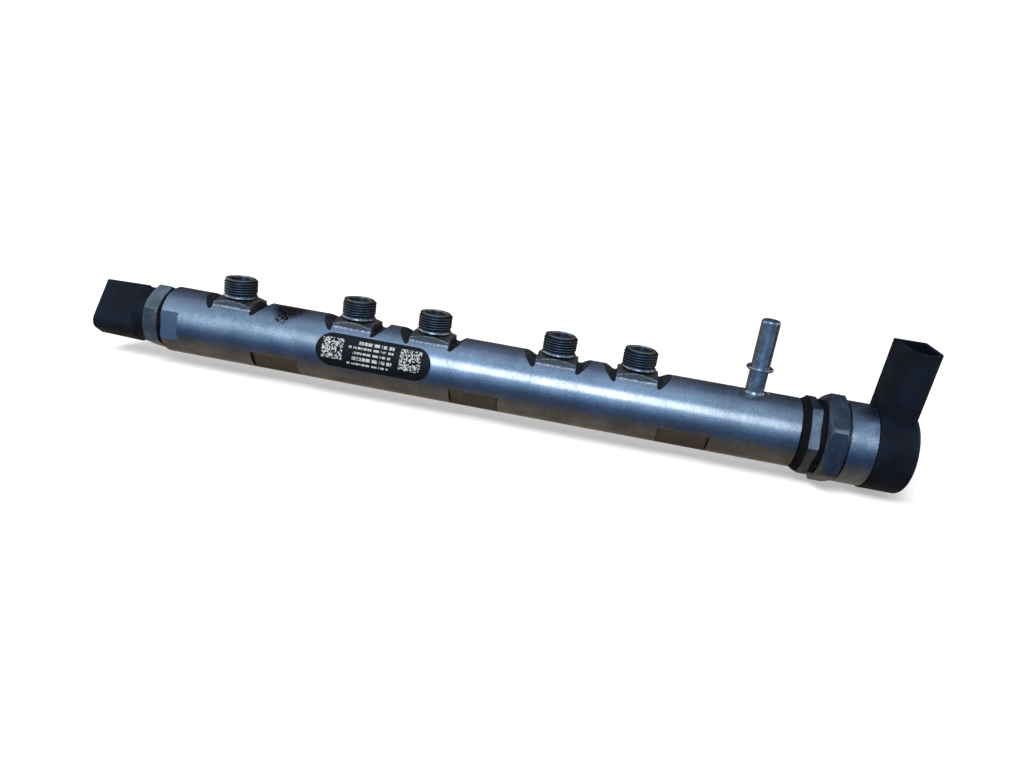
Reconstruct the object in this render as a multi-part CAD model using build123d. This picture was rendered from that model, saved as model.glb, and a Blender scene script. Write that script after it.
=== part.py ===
from build123d import *
import os
from math import cos, pi, radians, sin, tan

os.makedirs("parts", exist_ok=True)

# Diesel fuel rail for a four cylinder engine, in millimetres.
# +X runs along the rail towards the control valve, +Z is the direction of the ports.
# The origin lies on the rail axis, in the middle of the middle bracket seat.

# Rail tube
tube_r = 15.0
left_overhang = 54.0
right_overhang = 46.7
tube_end_chamfer = 0.5
main_bore_r = 5.0

# Spacing along the rail
cylinder_pitch = 91.0
port_to_seat = 23.1
paired_port_step = 56.0
stub_from_end = 19.9

# Ports: a turned nipple on a square pad
nipple_r = 7.0
nipple_top = 24.34
nipple_chamfer = 0.7
thread_bottom = 17.3
neck_r = 6.5
neck_bottom = 16.4
neck_blend = 0.5
pad_half_x = 8.75
pad_half_y = 8.5
pad_crown = 15.9
pad_cone_drop = 0.4
seat_mouth_r = 4.8
seat_half_angle = 30.0
port_bore_r = 1.5
throttle_r = 0.45
throttle_length = 4.0
throttle_bottom = 6.5

# Troughs milled across the rail beside each pad
trough_depth = 4.2
trough_floor_width = 1.6
trough_reach = 6.1
trough_foot_r = 0.8
trough_bend_r = 2.0

# Flats
bracket_flat_length = 21.7
bracket_flat_depth = 1.09
bracket_flat_turn = -39.0
wrench_flat_length = 8.5
wrench_flat_across = 27.0
wrench_flat_turn = 1.5

# Return stub
stub_r = 3.95
stub_bore_r = 2.5
stub_top = 46.2
stub_tip_round = 1.3
bead_r = 5.7
bead_z = 25.15
bead_half_height = 0.85
stub_foot_r = 4.45
stub_foot_top = 15.2
stub_seat_z = 11.2
stub_spot_r = 7.6
stub_spot_z = 14.2

# Threads shared by the rail ends, the sensor and the valve
thread_r = 9.0
thread_clearance = 0.05
socket_cone_depth = 1.2

# Label sticker
label_length = 51.8
label_width = 14.6
label_thickness = 0.12
label_to_port = 22.6
label_turn = 14.0

# Pressure sensor
sensor_ring_width = 1.9
sensor_ring_r = 13.8
sensor_hex_width = 7.1
sensor_hex_across = 26.0
sensor_hex_turn = 25.0
sensor_hex_end_r = 12.9
sensor_shank_length = 12.0
sensor_nose_r = 6.4
sensor_nose_length = 3.0
sensor_nose_gap = 0.3
sensor_nose_edge = 1.0
sensor_bore_r = 1.5
sensor_neck_r = 9.2
sensor_neck_length = 2.4
diaphragm_r = 4.2
diaphragm_height = 3.2
diaphragm_wall = 0.8
collar_r = 12.5
collar_length = 5.5
collar_wall = 2.6
plug_length = 20.2
plug_half_width = 7.0
plug_top = 11.3
plug_bottom = 12.1
plug_turn = 35.5
plug_top_corner_r = 1.5
plug_bottom_corner_r = 4.5
plug_draft = 1.5
plug_wall = 1.7
plug_depth = 14.0
board_half_length = 7.0
board_half_width = 5.0
board_thickness = 1.2

# Contact blades, in the sensor plug and in the valve tower
blade_width = 2.4
blade_thickness = 0.8
blade_pitch = 5.0
blade_length = 9.0
blade_tip_chamfer = 0.25
socket_corner_r = 0.3

# Lock nut and the dark rings on both sides of it
nut_ring_width = 3.1
nut_ring_r = 14.6
nut_width = 4.5
nut_across = 29.0
nut_turn = -4.0
nut_end_r = 14.6
valve_ring_width = 1.9
valve_ring_r = 15.0

# Control valve
valve_hex_width = 9.0
valve_hex_across = 34.0
valve_hex_turn = 26.0
valve_hex_turned_r = 19.0
valve_hex_end_r = 16.6
valve_stem_r = 7.0
valve_nose_to_drain = 8.1
valve_nose_r = 8.4
valve_nose_length = 5.0
o_ring_r = 1.1
o_ring_side_gap = 0.2
o_ring_land = 1.5
support_ring_width = 1.2
drain_hole_r = 1.2
drain_holes = 4
drain_margin = 0.7
seat_piece_r = 3.4
seat_piece_length = 6.0
seat_cone_half_angle = 45.0
seat_passage_r = 0.9
seat_cone_mouth_r = 2.4
ball_r = 1.6
ball_gap = 0.03
pin_r = 1.5
pin_clearance = 0.05
lift = 0.3
lift_stop_gap = 0.1
pole_length = 5.0
air_gap = 0.6
armature_length = 11.5
armature_r = 6.45
guide_clearance = 0.05
guide_wall = 0.5
armature_slot_r = 0.8
spring_pocket_depth = 5.0
spring_wire_r = 0.35
spring_r = 2.6
spring_turns = 4
spring_end_gap = 0.05
plug_piece_length = 6.0
plug_pocket_depth = 1.6
sleeve_groove = 0.3
sleeve_width = 11.1
sleeve_r = 17.6
sleeve_wall = 1.6
sleeve_rim_chamfer = 0.3
spigot_length = 2.0
skirt_gap = 0.2
cap_width = 16.4
cap_r = 18.1
cap_edge_round = 2.6
coil_clearance = 0.3
blade_foot_gap = 0.1
bobbin_length = 20.5
bobbin_wall = 0.9
bobbin_flange = 1.2
bobbin_flange_r = 13.0
winding_r = 12.3

# Plug tower on the cap
tower_from_sleeve = 7.6
tower_top = 45.7
tower_width = 14.5
tower_depth = 19.6
tower_tilt = 4.6
tower_lean = 1.9
tower_clock = 8.5
tower_front_r = 6.9
tower_back_r = 0.8
tower_wall = 2.0
tower_socket_depth = 14.5
tower_foot = 12.0

# Worked out from the sizes above
seats_x = [-cylinder_pitch, 0.0, cylinder_pitch]
front_ports = [x - port_to_seat for x in seats_x]
ports_x = sorted(front_ports + [x + paired_port_step for x in front_ports[:-1]])
tube_left = seats_x[0] - left_overhang
tube_right = seats_x[-1] + right_overhang
stub_x = tube_right - stub_from_end
trough_floor = tube_r - trough_depth
label_middle = front_ports[1] - label_to_port

sensor_hex_right = tube_left - sensor_ring_width
sensor_hex_left = sensor_hex_right - sensor_hex_width
plug_right = sensor_hex_left - collar_length
plug_left = plug_right - plug_length
sensor_socket_end = tube_left + sensor_shank_length + sensor_nose_length

nut_left = tube_right + nut_ring_width
nut_right = nut_left + nut_width
hex_left = nut_right + valve_ring_width
hex_right = hex_left + valve_hex_width
nose_left = stub_x - valve_nose_to_drain
sleeve_left = hex_right + sleeve_groove
sleeve_right = sleeve_left + sleeve_width
cap_right = sleeve_right + cap_width
sleeve_in_r = sleeve_r - sleeve_wall
tower_x = sleeve_right + tower_from_sleeve

seat_right = nose_left + seat_piece_length
seat_slope = radians(seat_cone_half_angle)
ball_x = seat_right - seat_cone_mouth_r / tan(seat_slope) + (ball_r + ball_gap) / sin(seat_slope)
drain_right = stub_x + max(drain_hole_r, stub_bore_r) + drain_margin
o_ring_left = drain_right + o_ring_land
o_ring_right = o_ring_left + 2 * o_ring_r + support_ring_width + 2 * o_ring_side_gap
pole_right = hex_right + pole_length
armature_left = pole_right + air_gap
armature_right = armature_left + armature_length
guide_in_r = armature_r + guide_clearance
guide_out_r = guide_in_r + guide_wall
end_plug_left = armature_right + lift + lift_stop_gap
end_plug_right = end_plug_left + plug_piece_length
bobbin_left = hex_right + spigot_length + coil_clearance
bobbin_right = bobbin_left + bobbin_length
coil_room_r = bobbin_flange_r + coil_clearance
blade_foot_z = coil_room_r + blade_foot_gap


def cylinder_x(x_from, x_to, radius):
    return extrude(Plane.YZ.offset(x_from) * Circle(radius), amount=x_to - x_from)


def tube_x(x_from, x_to, inner, outer):
    ring = Circle(outer) - Circle(inner)
    return extrude(Plane.YZ.offset(x_from) * ring, amount=x_to - x_from)


def turned_x(points):
    """Solid of revolution about the rail axis from (x, radius) points."""
    return revolve(make_face(Polyline(*points, close=True)), axis=Axis.X)


def turned_z(points):
    """Solid of revolution about Z from (radius, height) points."""
    return revolve(Plane.XZ * make_face(Polyline(*points, close=True)), axis=Axis.Z)


def yz_angle(turn):
    """Turn about the rail, counted from the front up to the ports, as an angle in the YZ plane."""
    return 180.0 - turn


def hexagon_x(x_from, x_to, across, turn, end_r, turned_r=None):
    """Hexagon bar with a corner at the given turn and its corners chamfered at both ends."""
    corner_r = across / 2 / cos(pi / 6)
    full_r = corner_r if turned_r is None else turned_r
    run = (full_r - end_r) * tan(radians(30))
    outline = Plane.YZ.offset(x_from) * RegularPolygon(corner_r, 6, rotation=yz_angle(turn))
    turned = turned_x([
        (x_from, 0), (x_from, end_r), (x_from + run, full_r),
        (x_to - run, full_r), (x_to, end_r), (x_to, 0)])
    return extrude(outline, amount=x_to - x_from) & turned


def port_nipple():
    """Threaded nipple with its neck and the coned top of the pad, about its own axis."""
    crown_reach = 2 * pad_half_x
    return turned_z([
        (0, 0), (crown_reach, 0),
        (crown_reach, pad_crown - (crown_reach - neck_r) * pad_cone_drop),
        (neck_r + neck_blend, pad_crown), (neck_r, neck_bottom), (neck_r, thread_bottom - neck_blend),
        (nipple_r, thread_bottom), (nipple_r, nipple_top - nipple_chamfer),
        (nipple_r - nipple_chamfer, nipple_top), (0, nipple_top)])


def port_outside():
    """Square pad, cut to the turned shape of the nipple."""
    pad = extrude(Rectangle(2 * pad_half_x, 2 * pad_half_y), amount=nipple_top + 1)
    return port_nipple() & pad


def port_passage():
    """Sealing cone and drilled bore down to the main bore."""
    cone_depth = (seat_mouth_r - port_bore_r) / tan(radians(seat_half_angle))
    return turned_z([
        (0, 0), (port_bore_r, 0), (port_bore_r, nipple_top - cone_depth),
        (seat_mouth_r, nipple_top), (seat_mouth_r, nipple_top + 1), (0, nipple_top + 1)])


def port_trough():
    """Cutter shape milled across the rail, on the +X side of a pad."""
    start = pad_half_x
    floor_end = start + trough_floor_width
    corners = [
        (start, 2 * tube_r), (start, trough_floor), (floor_end, trough_floor),
        (start + trough_reach, tube_r), (start + trough_reach, 2 * tube_r)]
    profile = Plane.XZ * make_face(Polyline(*corners, close=True))
    cutter = extrude(profile, amount=tube_r, both=True)
    low = cutter.edges().filter_by(Axis.Y).group_by(Axis.Z)[0].sort_by(Axis.X)
    cutter = fillet(low[0], trough_foot_r)
    low = cutter.edges().filter_by(Axis.Y).filter_by(lambda e: abs(e.center().X - floor_end) < 0.01)
    return fillet(low, trough_bend_r)


def flat_cutter(x_from, x_to, distance, turn):
    """Block that leaves a flat at this distance from the rail axis, facing the given turn."""
    side = 3 * tube_r
    block = Pos((x_from + x_to) / 2, distance + side / 2, 0) * Box(x_to - x_from, side, side)
    return Rot(X=yz_angle(turn)) * block


def rail_body():
    body = turned_x([
        (tube_left, 0), (tube_left, tube_r - tube_end_chamfer), (tube_left + tube_end_chamfer, tube_r),
        (tube_right - tube_end_chamfer, tube_r), (tube_right, tube_r - tube_end_chamfer),
        (tube_right, 0)])
    trough = port_trough()
    for x in ports_x:
        body -= Pos(x, 0, 0) * trough
        body -= Pos(x, 0, 0) * mirror(trough, about=Plane.YZ)
    body += [Pos(x, 0, 0) * port_outside() for x in ports_x]
    for x in seats_x:
        body -= flat_cutter(x - bracket_flat_length / 2, x + bracket_flat_length / 2,
                            tube_r - bracket_flat_depth, bracket_flat_turn)
    for turn in (wrench_flat_turn, wrench_flat_turn + 180):
        body -= flat_cutter(tube_left - 1, tube_left + wrench_flat_length,
                            wrench_flat_across / 2, turn)
    body -= cylinder_x(tube_left - 1, tube_right + 1, main_bore_r)
    body -= turned_x([
        (tube_left - 1, 0), (tube_left - 1, thread_r + thread_clearance),
        (sensor_socket_end - sensor_nose_length, thread_r + thread_clearance),
        (sensor_socket_end, sensor_nose_r), (sensor_socket_end, 0)])
    body -= turned_x([
        (tube_right + 1, 0), (tube_right + 1, thread_r + thread_clearance),
        (nose_left + socket_cone_depth, thread_r + thread_clearance),
        (nose_left, valve_nose_r - socket_cone_depth), (nose_left, 0)])
    body -= [Pos(x, 0, 0) * port_passage() for x in ports_x]
    spot = Cylinder(stub_spot_r, tube_r, align=(Align.CENTER, Align.CENTER, Align.MIN))
    body -= Pos(stub_x, 0, stub_spot_z) * spot
    seat = Cylinder(stub_r, tube_r, align=(Align.CENTER, Align.CENTER, Align.MIN))
    body -= Pos(stub_x, 0, stub_seat_z) * seat
    drain = Cylinder(stub_bore_r, tube_r, align=(Align.CENTER, Align.CENTER, Align.MIN))
    return body - Pos(stub_x, 0, 0) * drain


def throttle_insert(x):
    sleeve = Circle(port_bore_r) - Circle(throttle_r)
    return extrude(Pos(x, 0, throttle_bottom) * sleeve, amount=throttle_length)


def return_stub():
    tip = stub_top - stub_tip_round
    bead = [
        (stub_r, bead_z - bead_half_height), (bead_r - bead_half_height, bead_z - bead_half_height),
        (bead_r, bead_z), (bead_r - bead_half_height, bead_z + bead_half_height),
        (stub_r, bead_z + bead_half_height)]
    with BuildPart() as stub:
        with BuildSketch(Plane.XZ):
            with BuildLine():
                Polyline((stub_bore_r, stub_top), (stub_bore_r, stub_seat_z), (stub_r, stub_seat_z),
                         (stub_r, stub_spot_z), (stub_foot_r, stub_spot_z), (stub_r, stub_foot_top),
                         bead[0], bead[1])
                ThreePointArc(bead[1], bead[2], bead[3])
                Polyline(bead[3], bead[4], (stub_r, tip))
                RadiusArc((stub_r, tip), (stub_r - stub_tip_round, stub_top), -stub_tip_round)
                Line((stub_r - stub_tip_round, stub_top), (stub_bore_r, stub_top))
            make_face()
        revolve(axis=Axis.Z)
    return Pos(stub_x, 0, 0) * stub.part


def label():
    """Round ended sticker that follows the tube."""
    skin = tube_x(tube_left, tube_right, tube_r, tube_r + label_thickness)
    facing = Plane(origin=(label_middle, 0, 0), x_dir=(1, 0, 0),
                   z_dir=(0, -cos(radians(label_turn)), sin(radians(label_turn))))
    outline = extrude(facing * SlotOverall(label_length, label_width), amount=2 * tube_r)
    return skin & outline


def sensor_body():
    hexagon = hexagon_x(sensor_hex_left, sensor_hex_right, sensor_hex_across, sensor_hex_turn,
                        sensor_hex_end_r)
    cone_start = tube_left + sensor_shank_length - sensor_nose_edge
    nose = sensor_socket_end - sensor_nose_gap
    shank = turned_x([
        (sensor_hex_right - 1, 0), (sensor_hex_right - 1, thread_r), (cone_start, thread_r),
        (nose, sensor_nose_r), (nose, 0)])
    neck = cylinder_x(sensor_hex_left - sensor_neck_length, sensor_hex_left + 1, sensor_neck_r)
    body = hexagon + shank + neck
    return body - cylinder_x(sensor_hex_left - sensor_neck_length - 1, sensor_socket_end, sensor_bore_r)


def sensor_diaphragm():
    """Small steel cup welded over the sensor bore."""
    right = sensor_hex_left - sensor_neck_length
    left = right - diaphragm_height
    return turned_x([
        (right, sensor_bore_r), (right, diaphragm_r), (left, diaphragm_r), (left, 0),
        (left + diaphragm_wall, 0), (left + diaphragm_wall, sensor_bore_r)])


def plug_plane(x):
    """Plane across the rail axis, its x axis along the plug's long side, towards the sharp corners."""
    long_turn = plug_turn + 90
    return Plane(origin=(x, 0, 0), x_dir=(0, -cos(radians(long_turn)), sin(radians(long_turn))),
                 z_dir=(1, 0, 0))


def plug_outline(inset):
    """Oblong plug section with two tight and two round corners."""
    half = plug_half_width - inset
    top = plug_top - inset
    bottom = plug_bottom - inset
    middle = (top - bottom) / 2
    face = Pos(middle, 0) * Rectangle(top + bottom, 2 * half)
    corners = face.vertices().group_by(Axis.X)
    face = fillet(corners[0], plug_bottom_corner_r - inset)
    corners = face.vertices().group_by(Axis.X)
    return fillet(corners[-1], max(plug_top_corner_r - inset, socket_corner_r))


def sensor_plug_x():
    """Where the socket floor lies, and the left end of the board room in the collar."""
    return plug_left + plug_depth, plug_right - collar_wall


def sensor_blade(offset):
    floor, room = sensor_plug_x()
    tip = floor - blade_length
    blade = Box(room - tip, blade_width, blade_thickness, align=(Align.MIN, Align.CENTER, Align.CENTER))
    blade = chamfer(blade.faces().sort_by(Axis.X)[0].edges(), blade_tip_chamfer)
    return Rot(X=yz_angle(plug_turn + 90)) * (Pos(tip, offset, 0) * blade)


def sensor_terminals():
    middle = (plug_top - plug_bottom) / 2
    return [sensor_blade(middle + k * blade_pitch) for k in (-1, 0, 1)]


def sensor_connector():
    floor, room = sensor_plug_x()
    plug = extrude(plug_plane(plug_left) * plug_outline(0), amount=plug_length, taper=-plug_draft)
    collar = cylinder_x(plug_right, sensor_hex_left, collar_r)
    body = plug + collar
    body -= extrude(plug_plane(plug_left) * plug_outline(plug_wall), amount=plug_depth)
    body -= cylinder_x(room, sensor_hex_left, sensor_neck_r + thread_clearance)
    for blade in sensor_terminals():
        body -= blade
    return body


def sensor_board():
    left = sensor_plug_x()[1]
    board = Box(board_thickness, 2 * board_half_length, 2 * board_half_width,
                align=(Align.MIN, Align.CENTER, Align.CENTER))
    return Rot(X=yz_angle(plug_turn + 90)) * (Pos(left, 0, 0) * board)


def valve_hollow():
    """Bore of the valve body: seat piece, ball chamber, then the pin bore."""
    chamber_right = stub_x + drain_hole_r + drain_margin
    return turned_x([
        (nose_left - 1, 0), (nose_left - 1, seat_piece_r), (chamber_right, seat_piece_r),
        (chamber_right, pin_r + pin_clearance), (pole_right + 1, pin_r + pin_clearance),
        (pole_right + 1, 0)])


def valve_body():
    stem_start = nose_left + valve_nose_length
    thread_start = o_ring_right + o_ring_land
    land = thread_r - thread_clearance
    body = hexagon_x(hex_left, hex_right, valve_hex_across, valve_hex_turn, valve_hex_end_r,
                     valve_hex_turned_r)
    body += turned_x([
        (nose_left, 0), (nose_left, valve_nose_r - socket_cone_depth),
        (nose_left + socket_cone_depth, valve_nose_r), (stem_start, valve_nose_r),
        (stem_start, valve_stem_r), (drain_right, valve_stem_r), (drain_right, land),
        (o_ring_left, land), (o_ring_left, valve_stem_r), (o_ring_right, valve_stem_r),
        (o_ring_right, land), (thread_start, land), (thread_start, thread_r),
        (hex_left + 1, thread_r), (hex_left + 1, 0)])
    body += cylinder_x(hex_right - 1, hex_right + spigot_length, sleeve_in_r)
    body += cylinder_x(hex_right, pole_right, guide_in_r)
    body -= valve_hollow()
    for k in range(drain_holes):
        hole = Cylinder(drain_hole_r, tube_r, align=(Align.CENTER, Align.CENTER, Align.MIN))
        body -= Rot(X=360.0 / drain_holes * k) * (Pos(stub_x, 0, 0) * hole)
    return body


def valve_o_ring():
    """Elastomer ring, squeezed oval between the stem and the wall of its socket."""
    wall_r = thread_r + thread_clearance
    middle_r = (wall_r + valve_stem_r) / 2
    half = (wall_r - valve_stem_r) / 2
    ring = Pos(o_ring_left + o_ring_side_gap + o_ring_r, middle_r) * Ellipse(o_ring_r, half)
    return revolve(ring, axis=Axis.X)


def valve_support_ring():
    right = o_ring_right - o_ring_side_gap
    return tube_x(right - support_ring_width, right, valve_stem_r, thread_r)


def valve_seat():
    """Pressed seat piece with a conical seat towards the ball."""
    depth = (seat_cone_mouth_r - seat_passage_r) / tan(seat_slope)
    return turned_x([
        (nose_left, seat_passage_r), (nose_left, seat_piece_r), (seat_right, seat_piece_r),
        (seat_right, seat_cone_mouth_r), (seat_right - depth, seat_passage_r)])


def valve_ball():
    return Pos(ball_x, 0, 0) * Sphere(ball_r)


def valve_armature():
    """Armature with its push pin, spring pocket and four pressure relief bores."""
    body = turned_x([
        (ball_x + ball_r + ball_gap, 0), (ball_x + ball_r + ball_gap, pin_r), (armature_left, pin_r),
        (armature_left, armature_r), (armature_right, armature_r),
        (armature_right, spring_r + 2 * spring_wire_r),
        (armature_right - spring_pocket_depth, spring_r + 2 * spring_wire_r),
        (armature_right - spring_pocket_depth, 0)])
    for k in range(4):
        relief = cylinder_x(armature_left - 1, armature_right + 1, armature_slot_r)
        body -= Rot(X=45 + 90 * k) * (Pos(0, (armature_r + spring_r + 2 * spring_wire_r) / 2, 0) * relief)
    return body


def spring_room():
    """Where the spring's two end turns rest."""
    return armature_right - spring_pocket_depth, end_plug_left + plug_pocket_depth


def armature_spring():
    left, right = spring_room()
    inset = spring_wire_r + spring_end_gap
    length = right - left - 2 * inset
    path = Helix(pitch=length / spring_turns, height=length, radius=spring_r)
    section = Plane(origin=path @ 0, z_dir=path % 0) * Circle(spring_wire_r)
    coil = sweep(section, path=path, is_frenet=True)
    return Pos(left + inset, 0, 0) * (Rot(Y=90) * coil)


def guide_tube():
    return tube_x(hex_right + spigot_length, end_plug_right, guide_in_r, guide_out_r)


def end_plug():
    plug = cylinder_x(end_plug_left, end_plug_right, guide_in_r)
    return plug - cylinder_x(end_plug_left - 1, end_plug_left + plug_pocket_depth,
                             spring_r + 2 * spring_wire_r)


def coil_bobbin():
    inner = guide_out_r + thread_clearance
    core = inner + bobbin_wall
    return turned_x([
        (bobbin_left, inner), (bobbin_left, bobbin_flange_r), (bobbin_left + bobbin_flange, bobbin_flange_r),
        (bobbin_left + bobbin_flange, core), (bobbin_right - bobbin_flange, core),
        (bobbin_right - bobbin_flange, bobbin_flange_r), (bobbin_right, bobbin_flange_r),
        (bobbin_right, inner)])


def coil_winding():
    core = guide_out_r + thread_clearance + bobbin_wall
    return tube_x(bobbin_left + bobbin_flange, bobbin_right - bobbin_flange, core, winding_r)


def coil_sleeve():
    sleeve = tube_x(sleeve_left, sleeve_right, sleeve_in_r, sleeve_r)
    rims = sleeve.edges().filter_by(GeomType.CIRCLE).group_by(SortBy.RADIUS)[-1]
    return chamfer(rims, sleeve_rim_chamfer)


def tower_place():
    """Location of the tower: its z axis leaves the valve axis and runs up the middle of the tower."""
    return Pos(tower_x, 0, 0) * Rot(X=tower_tilt) * Rot(Y=tower_lean) * Rot(Z=tower_clock)


def tower_section(inset):
    face = Rectangle(tower_width - 2 * inset, tower_depth - 2 * inset)
    corners = face.vertices().group_by(Axis.Y)
    face = fillet(corners[0], tower_front_r - inset)
    corners = face.vertices().group_by(Axis.Y)
    return fillet(corners[-1], max(tower_back_r - inset, socket_corner_r))


def valve_terminals():
    floor = tower_top - tower_socket_depth
    top = floor + blade_length
    blades = []
    for side in (-1, 1):
        blade = Box(blade_thickness, blade_width, top - blade_foot_z,
                    align=(Align.CENTER, Align.CENTER, Align.MIN))
        blade = chamfer(blade.faces().sort_by(Axis.Z)[-1].edges(), blade_tip_chamfer)
        blades.append(tower_place() * (Pos(0, side * blade_pitch / 2, blade_foot_z) * blade))
    return blades


def solenoid_cap():
    """Plastic cap, moulded in one with the plug tower."""
    skirt_left = hex_right + spigot_length + skirt_gap
    cap = cylinder_x(sleeve_right, cap_right, cap_r)
    cap = fillet(cap.edges().sort_by(Axis.X)[-1], cap_edge_round)
    tower = extrude(Pos(0, 0, tower_foot) * tower_section(0), amount=tower_top - tower_foot)
    cap += tower_place() * tower
    cap += cylinder_x(skirt_left, sleeve_right + 1, sleeve_in_r - thread_clearance)
    cap -= turned_x([
        (skirt_left - 1, 0), (skirt_left - 1, coil_room_r), (bobbin_right + coil_clearance, coil_room_r),
        (bobbin_right + coil_clearance, guide_out_r + coil_clearance),
        (end_plug_right + coil_clearance, guide_out_r + coil_clearance),
        (end_plug_right + coil_clearance, 0)])
    socket = extrude(Pos(0, 0, tower_top - tower_socket_depth) * tower_section(tower_wall),
                     amount=tower_socket_depth + 1)
    cap -= tower_place() * socket
    for blade in valve_terminals():
        cap -= blade
    return cap


def save(name, shape):
    solids = shape if isinstance(shape, list) else [shape]
    group = solids[0] if len(solids) == 1 else Compound(children=solids)
    export_step(group, f"parts/{name}.step")


save("rail_body", rail_body())
for number, port_x in enumerate(ports_x, start=1):
    save(f"throttle_insert_{number}", throttle_insert(port_x))
save("return_stub", return_stub())
save("label", label())

save("sensor_seal_ring", tube_x(sensor_hex_right, tube_left, thread_r + thread_clearance, sensor_ring_r))
save("sensor_body", sensor_body())
save("sensor_diaphragm", sensor_diaphragm())
save("sensor_board", sensor_board())
save("sensor_terminals", sensor_terminals())
save("sensor_connector", sensor_connector())

nut_bore = cylinder_x(nut_left - 1, nut_right + 1, thread_r + thread_clearance)
save("lock_nut_seal_ring", tube_x(tube_right, nut_left, thread_r + thread_clearance, nut_ring_r))
save("lock_nut", hexagon_x(nut_left, nut_right, nut_across, nut_turn, nut_end_r) - nut_bore)
save("valve_seal_ring", tube_x(nut_right, hex_left, thread_r + thread_clearance, valve_ring_r))

save("valve_body", valve_body())
save("valve_o_ring", valve_o_ring())
save("valve_support_ring", valve_support_ring())
save("valve_seat", valve_seat())
save("valve_ball", valve_ball())
save("valve_armature", valve_armature())
save("armature_spring", armature_spring())
save("guide_tube", guide_tube())
save("end_plug", end_plug())
save("coil_bobbin", coil_bobbin())
save("coil_winding", coil_winding())
save("coil_sleeve", coil_sleeve())
save("valve_terminals", valve_terminals())
save("solenoid_cap", solenoid_cap())
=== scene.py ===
import math

import bmesh
import bpy
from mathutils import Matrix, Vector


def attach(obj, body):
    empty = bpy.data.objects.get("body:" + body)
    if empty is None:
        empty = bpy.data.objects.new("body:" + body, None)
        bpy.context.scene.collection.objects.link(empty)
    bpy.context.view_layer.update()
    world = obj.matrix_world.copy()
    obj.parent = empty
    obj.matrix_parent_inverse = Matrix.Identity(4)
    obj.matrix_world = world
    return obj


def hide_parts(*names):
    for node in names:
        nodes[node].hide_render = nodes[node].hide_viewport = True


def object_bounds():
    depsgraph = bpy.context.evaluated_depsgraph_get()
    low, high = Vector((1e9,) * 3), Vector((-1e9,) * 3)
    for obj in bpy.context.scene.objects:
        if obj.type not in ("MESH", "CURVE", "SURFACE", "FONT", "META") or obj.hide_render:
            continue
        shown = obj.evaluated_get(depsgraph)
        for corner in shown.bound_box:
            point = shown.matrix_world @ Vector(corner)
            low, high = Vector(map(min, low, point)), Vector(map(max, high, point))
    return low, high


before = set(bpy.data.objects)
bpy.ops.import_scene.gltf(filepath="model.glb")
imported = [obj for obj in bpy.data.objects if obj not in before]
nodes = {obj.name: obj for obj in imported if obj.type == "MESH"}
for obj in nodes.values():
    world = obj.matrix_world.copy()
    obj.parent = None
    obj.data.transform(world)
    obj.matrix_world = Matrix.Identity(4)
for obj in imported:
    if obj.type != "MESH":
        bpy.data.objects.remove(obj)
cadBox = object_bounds()
scene = bpy.context.scene
mm = 0.001
noiseLow, noiseHigh = 0.3, 0.7  # nearly all of a noise lies between these
acrossMarks = 0.25  # share of a turn: gloss stretches across marks that run round an axis

railLayout = {  # places along the rail in millimetres, repeated from the part
    "portsX": (-114.1, -58.1, -23.1, 32.9, 67.9),
    "seatsX": (-91.0, 0.0, 91.0),
}


def toLinear(hexColour):  # sRGB hex to a linear colour with alpha
    parts = [int(hexColour[i:i + 2], 16) / 255 for i in (1, 3, 5)]
    linear = [c / 12.92 if c <= 0.04045 else ((c + 0.055) / 1.055) ** 2.4 for c in parts]
    return (*linear, 1.0)


# Adds one node, fills or links its inputs and gives back the wanted output
def addNode(tree, kind, inputs=None, out=0, stops=None, **settings):
    node = tree.nodes.new("ShaderNode" + kind)
    for name, value in settings.items():
        setattr(node, name, value)
    for key, value in (inputs or {}).items():
        if isinstance(value, bpy.types.NodeSocket):
            tree.links.new(value, node.inputs[key])
        else:
            node.inputs[key].default_value = value
    if stops:
        ramp = node.color_ramp
        while len(ramp.elements) < len(stops):
            ramp.elements.new(0.5)
        for element, (place, colour) in zip(ramp.elements, stops):
            element.position = place
            element.color = colour
    return node.outputs[out] if node.outputs else node


def clearTree(owner):  # the emptied node tree of a material or the world
    owner.use_nodes = True
    owner.node_tree.nodes.clear()
    return owner.node_tree


def newMaterial(name):
    material = bpy.data.materials.new(name)
    return material, clearTree(material)


def finishMaterial(tree, inputs):  # the principled shader with its inputs, and the output
    shader = addNode(tree, "BsdfPrincipled", inputs)
    addNode(tree, "OutputMaterial", {"Surface": shader})


def dress(material, *names):  # puts one material on CAD nodes
    for name in names:
        mesh = nodes[name].data
        if mesh.materials:
            for slot in nodes[name].material_slots:
                slot.material = material
        else:
            mesh.materials.append(material)


# Camera, from the fit to the photo's outlines
photoCamera = {
    "place": (0.05040304, -0.33432998, 0.10464204),
    "turn": (72.25185, -8.19598, 8.70889),
    "lens": 27.8144, "sensor": 36,
}
cameraData = bpy.data.cameras.new("photoCamera")
cameraData.lens = photoCamera["lens"]
cameraData.sensor_width = photoCamera["sensor"]
camera = bpy.data.objects.new("photoCamera", cameraData)
camera.location = photoCamera["place"]
camera.rotation_euler = [math.radians(a) for a in photoCamera["turn"]]
scene.collection.objects.link(camera)
scene.camera = camera
scene.view_settings.view_transform = "Standard"
print("camera placed")


# 1 for camera, glossy and transmission rays, so that metal shows the white ground too
def addFlags(tree):
    path = addNode(tree, "LightPath", out="Is Camera Ray").node.outputs
    seen = addNode(tree, "Math", {0: path["Is Camera Ray"], 1: path["Is Glossy Ray"]}, operation="MAXIMUM")
    return addNode(tree, "Math", {0: seen, 1: path["Is Transmission Ray"]}, operation="MAXIMUM")


# World and sun: plain, pale and soft
daylight = {"worldLevel": 0.40, "sunStrength": 2.4, "sunAngle": 30, "sunTurn": (36, -22, 0)}


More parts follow.
